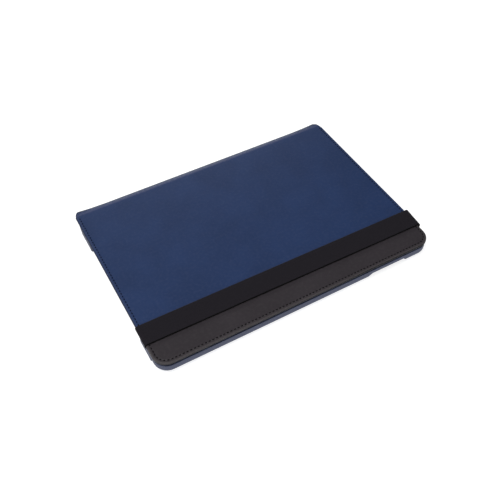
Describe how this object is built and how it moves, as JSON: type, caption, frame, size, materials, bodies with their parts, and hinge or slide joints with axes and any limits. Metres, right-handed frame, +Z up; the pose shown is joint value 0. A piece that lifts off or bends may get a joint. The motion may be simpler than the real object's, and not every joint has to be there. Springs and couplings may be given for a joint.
{
  "type": "tablet keyboard case",
  "caption": "Leather folio case with a snap-in tray for a tablet, a low-profile keyboard on the inside of the hinged cover, a fold-out kickstand and an elastic strap.",
  "frame": {"origin": "centre of the closed case's footprint, on the surface that it lies on", "axes": "+X along the long side, to the right with the opening edge in front; +Y from the opening edge to the spine; +Z up, out of the cover's outer face"},
  "size_m": [0.2576, 0.1816, 0.0158],
  "materials": {
    "shell_plastic": "soft-touch matte",
    "liner_fabric": "brushed microfibre",
    "navy_leather": "fine-grain imitation leather",
    "charcoal_leather": "fine-grain imitation leather",
    "lining_fabric": "microfibre",
    "fibre_board": "pressed",
    "elastic": "ribbed woven elastic",
    "steel": "plain",
    "stand_paint": "matte powder coat",
    "foot_rubber": "matte",
    "magnet_plating": "nickel plate",
    "keyboard_plastic": "fine texture",
    "key_plastic": "satin",
    "film": "clear film",
    "dome_rubber": "silicone",
    "circuit_board": "solder mask",
    "battery_foil": "foil pouch",
    "lens_plastic": "clear"
  },
  "bodies": {
    "tray": {"tray_shell": "shell_plastic", "tray_liner": "liner_fabric", "rear_flap": "navy_leather", "hinge_bracket_left": "steel", "hinge_bracket_right": "steel", "hinge_pins": "steel", "hinge_screws": "steel", "stand_magnets": "magnet_plating"},
    "kickstand": {"kickstand_plate": "stand_paint", "kickstand_foot": "foot_rubber"},
    "spine": {"spine_leather": "navy_leather", "spine_lining": "lining_fabric"},
    "cover": {"cover_leather": "navy_leather", "cover_trim_strip": "charcoal_leather", "cover_board": "fibre_board", "cover_lining": "lining_fabric", "closure_magnets": "magnet_plating", "keyboard_base": "keyboard_plastic", "keyboard_frame": "keyboard_plastic", "keyboard_screws": "steel", "key_backplate": "steel", "membrane_circuit": "film", "dome_sheet": "dome_rubber", "scissor_frames": "key_plastic", "controller_board": "circuit_board", "battery": "battery_foil", "charge_port": "steel", "indicator_lenses": "lens_plastic"},
    "strap": {"elastic_strap": "elastic"},
    "power_switch": {"power_switch": "key_plastic"},
    "pair_button": {"pair_button": "key_plastic"},
    "escape_key": {"escape_key": "key_plastic"},
    "function_keys": {"function_keys": "key_plastic"},
    "lock_key": {"lock_key": "key_plastic"},
    "grave_key": {"grave_key": "key_plastic"},
    "number_keys": {"number_keys": "key_plastic"},
    "backspace_key": {"backspace_key": "key_plastic"},
    "tab_key": {"tab_key": "key_plastic"},
    "top_letter_keys": {"top_letter_keys": "key_plastic"},
    "backslash_key": {"backslash_key": "key_plastic"},
    "caps_lock_key": {"caps_lock_key": "key_plastic"},
    "home_letter_keys": {"home_letter_keys": "key_plastic"},
    "enter_key": {"enter_key": "key_plastic"},
    "left_shift_key": {"left_shift_key": "key_plastic"},
    "bottom_letter_keys": {"bottom_letter_keys": "key_plastic"},
    "right_shift_key": {"right_shift_key": "key_plastic"},
    "left_modifier_keys": {"left_modifier_keys": "key_plastic"},
    "space_bar": {"space_bar": "key_plastic"},
    "right_modifier_keys": {"right_modifier_keys": "key_plastic"},
    "left_arrow_key": {"left_arrow_key": "key_plastic"},
    "up_arrow_key": {"up_arrow_key": "key_plastic"},
    "down_arrow_key": {"down_arrow_key": "key_plastic"},
    "right_arrow_key": {"right_arrow_key": "key_plastic"}
  },
  "joints": [
    {"name": "spine_fold", "type": "hinge", "parent": "tray", "child": "spine", "pos_m": [0, 0.08869, 0.00211], "axis": [-1, 0, 0], "range_deg": [0, 90]},
    {"name": "cover_fold", "type": "hinge", "parent": "spine", "child": "cover", "pos_m": [0, 0.08869, 0.01229], "axis": [-1, 0, 0], "range_deg": [0, 90]},
    {"name": "strap_pull_off", "type": "slide", "parent": "cover", "child": "strap", "axis": [0, -1, 0], "range_m": [0, 0.045]},
    {"name": "kickstand_fold", "type": "hinge", "parent": "tray", "child": "kickstand", "pos_m": [0, 0.00045, 0.001], "axis": [-1, 0, 0], "range_deg": [0, 65]},
    {"name": "power_slide", "type": "slide", "parent": "cover", "child": "power_switch", "axis": [1, 0, 0], "range_m": [0, 0.0036]},
    {"name": "pair_press", "type": "slide", "parent": "cover", "child": "pair_button", "axis": [0, 0, 1], "range_m": [0, 0.0003], "stiffness_N_per_m": 800, "springref_m": -0.0003},
    {"name": "escape_press", "type": "slide", "parent": "cover", "child": "escape_key", "axis": [0, 0, 1], "range_m": [0, 0.0009], "stiffness_N_per_m": 500, "springref_m": -0.0003, "deforming": ["dome_sheet"]},
    {"name": "function_press", "type": "slide", "parent": "cover", "child": "function_keys", "axis": [0, 0, 1], "range_m": [0, 0.0009], "stiffness_N_per_m": 500, "springref_m": -0.0003, "deforming": ["dome_sheet"]},
    {"name": "lock_press", "type": "slide", "parent": "cover", "child": "lock_key", "axis": [0, 0, 1], "range_m": [0, 0.0009], "stiffness_N_per_m": 500, "springref_m": -0.0003, "deforming": ["dome_sheet"]},
    {"name": "grave_press", "type": "slide", "parent": "cover", "child": "grave_key", "axis": [0, 0, 1], "range_m": [0, 0.0009], "stiffness_N_per_m": 500, "springref_m": -0.0003, "deforming": ["dome_sheet"]},
    {"name": "number_press", "type": "slide", "parent": "cover", "child": "number_keys", "axis": [0, 0, 1], "range_m": [0, 0.0009], "stiffness_N_per_m": 500, "springref_m": -0.0003, "deforming": ["dome_sheet"]},
    {"name": "backspace_press", "type": "slide", "parent": "cover", "child": "backspace_key", "axis": [0, 0, 1], "range_m": [0, 0.0009], "stiffness_N_per_m": 500, "springref_m": -0.0003, "deforming": ["dome_sheet"]},
    {"name": "tab_press", "type": "slide", "parent": "cover", "child": "tab_key", "axis": [0, 0, 1], "range_m": [0, 0.0009], "stiffness_N_per_m": 500, "springref_m": -0.0003, "deforming": ["dome_sheet"]},
    {"name": "top_letter_press", "type": "slide", "parent": "cover", "child": "top_letter_keys", "axis": [0, 0, 1], "range_m": [0, 0.0009], "stiffness_N_per_m": 500, "springref_m": -0.0003, "deforming": ["dome_sheet"]},
    {"name": "backslash_press", "type": "slide", "parent": "cover", "child": "backslash_key", "axis": [0, 0, 1], "range_m": [0, 0.0009], "stiffness_N_per_m": 500, "springref_m": -0.0003, "deforming": ["dome_sheet"]},
    {"name": "caps_lock_press", "type": "slide", "parent": "cover", "child": "caps_lock_key", "axis": [0, 0, 1], "range_m": [0, 0.0009], "stiffness_N_per_m": 500, "springref_m": -0.0003, "deforming": ["dome_sheet"]},
    {"name": "home_letter_press", "type": "slide", "parent": "cover", "child": "home_letter_keys", "axis": [0, 0, 1], "range_m": [0, 0.0009], "stiffness_N_per_m": 500, "springref_m": -0.0003, "deforming": ["dome_sheet"]},
    {"name": "enter_press", "type": "slide", "parent": "cover", "child": "enter_key", "axis": [0, 0, 1], "range_m": [0, 0.0009], "stiffness_N_per_m": 500, "springref_m": -0.0003, "deforming": ["dome_sheet"]},
    {"name": "left_shift_press", "type": "slide", "parent": "cover", "child": "left_shift_key", "axis": [0, 0, 1], "range_m": [0, 0.0009], "stiffness_N_per_m": 500, "springref_m": -0.0003, "deforming": ["dome_sheet"]},
    {"name": "bottom_letter_press", "type": "slide", "parent": "cover", "child": "bottom_letter_keys", "axis": [0, 0, 1], "range_m": [0, 0.0009], "stiffness_N_per_m": 500, "springref_m": -0.0003, "deforming": ["dome_sheet"]},
    {"name": "right_shift_press", "type": "slide", "parent": "cover", "child": "right_shift_key", "axis": [0, 0, 1], "range_m": [0, 0.0009], "stiffness_N_per_m": 500, "springref_m": -0.0003, "deforming": ["dome_sheet"]},
    {"name": "left_modifier_press", "type": "slide", "parent": "cover", "child": "left_modifier_keys", "axis": [0, 0, 1], "range_m": [0, 0.0009], "stiffness_N_per_m": 500, "springref_m": -0.0003, "deforming": ["dome_sheet"]},
    {"name": "space_bar_press", "type": "slide", "parent": "cover", "child": "space_bar", "axis": [0, 0, 1], "range_m": [0, 0.0009], "stiffness_N_per_m": 500, "springref_m": -0.0003, "deforming": ["dome_sheet"]},
    {"name": "right_modifier_press", "type": "slide", "parent": "cover", "child": "right_modifier_keys", "axis": [0, 0, 1], "range_m": [0, 0.0009], "stiffness_N_per_m": 500, "springref_m": -0.0003, "deforming": ["dome_sheet"]},
    {"name": "left_arrow_press", "type": "slide", "parent": "cover", "child": "left_arrow_key", "axis": [0, 0, 1], "range_m": [0, 0.0009], "stiffness_N_per_m": 500, "springref_m": -0.0003, "deforming": ["dome_sheet"]},
    {"name": "up_arrow_press", "type": "slide", "parent": "cover", "child": "up_arrow_key", "axis": [0, 0, 1], "range_m": [0, 0.0009], "stiffness_N_per_m": 500, "springref_m": -0.0003, "deforming": ["dome_sheet"]},
    {"name": "down_arrow_press", "type": "slide", "parent": "cover", "child": "down_arrow_key", "axis": [0, 0, 1], "range_m": [0, 0.0009], "stiffness_N_per_m": 500, "springref_m": -0.0003, "deforming": ["dome_sheet"]},
    {"name": "right_arrow_press", "type": "slide", "parent": "cover", "child": "right_arrow_key", "axis": [0, 0, 1], "range_m": [0, 0.0009], "stiffness_N_per_m": 500, "springref_m": -0.0003, "deforming": ["dome_sheet"]}
  ]
}
